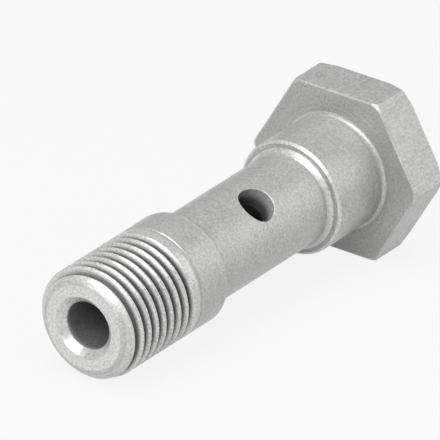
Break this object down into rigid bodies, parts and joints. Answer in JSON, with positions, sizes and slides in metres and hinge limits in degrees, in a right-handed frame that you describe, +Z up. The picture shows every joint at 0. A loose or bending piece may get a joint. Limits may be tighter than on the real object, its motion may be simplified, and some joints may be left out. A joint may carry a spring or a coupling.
{
  "type": "banjo bolt",
  "caption": "Hexagon bolt with an axial bore and a cross hole, which clamps a ring fitting and feeds fluid through it.",
  "frame": {"origin": "on the bolt's axis, at the plane of the bearing face under the head", "axes": "+X along the axis from the bearing face to the threaded tip, +Z up and square to the hexagon flat that faces down, so the bolt lies on that flat and on its thread"},
  "size_m": [0.0514, 0.022, 0.019],
  "materials": {
    "plated_steel": "satin plated steel, turned all over, fine grain"
  },
  "bodies": {
    "root": {"banjo_bolt": "plated_steel"}
  },
  "joints": []
}
